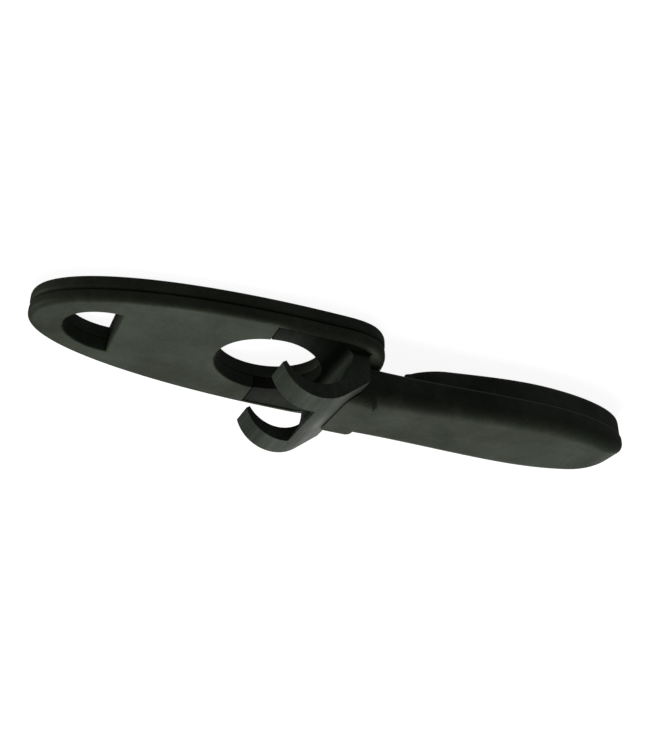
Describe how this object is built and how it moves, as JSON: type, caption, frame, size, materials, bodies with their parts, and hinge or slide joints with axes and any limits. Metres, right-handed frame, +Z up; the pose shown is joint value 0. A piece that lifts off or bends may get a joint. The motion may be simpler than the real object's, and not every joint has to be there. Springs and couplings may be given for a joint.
{
  "type": "cleat horn",
  "caption": "Hand cleat horn: flat slotted leaf with a rope groove, a two-jaw rail clip and a paddle-shaped horn, for holding line on a boat.",
  "frame": {"origin": "on the resting plane, at the middle of the overall length and width", "axes": "+X along the length towards the leaf's tip, +Z up to the side with the rail clip, +Y across"},
  "size_m": [0.2519, 0.063, 0.0331],
  "materials": {
    "black_nylon": "satin moulded black, slightly green",
    "clip_nylon": "satin black with fine lines along the clip's length",
    "steel": "plain"
  },
  "bodies": {
    "root": {"leaf_back_plate": "black_nylon", "leaf_front_plate": "black_nylon", "rail_clip": "clip_nylon", "horn_body": "black_nylon", "horn_back_cover": "black_nylon", "plate_screw_near": "steel", "plate_screw_far": "steel", "clip_screw_near": "steel", "clip_screw_far": "steel", "root_screw_near": "steel", "root_screw_far": "steel", "cover_screw_1": "steel", "cover_screw_2": "steel"}
  },
  "joints": []
}
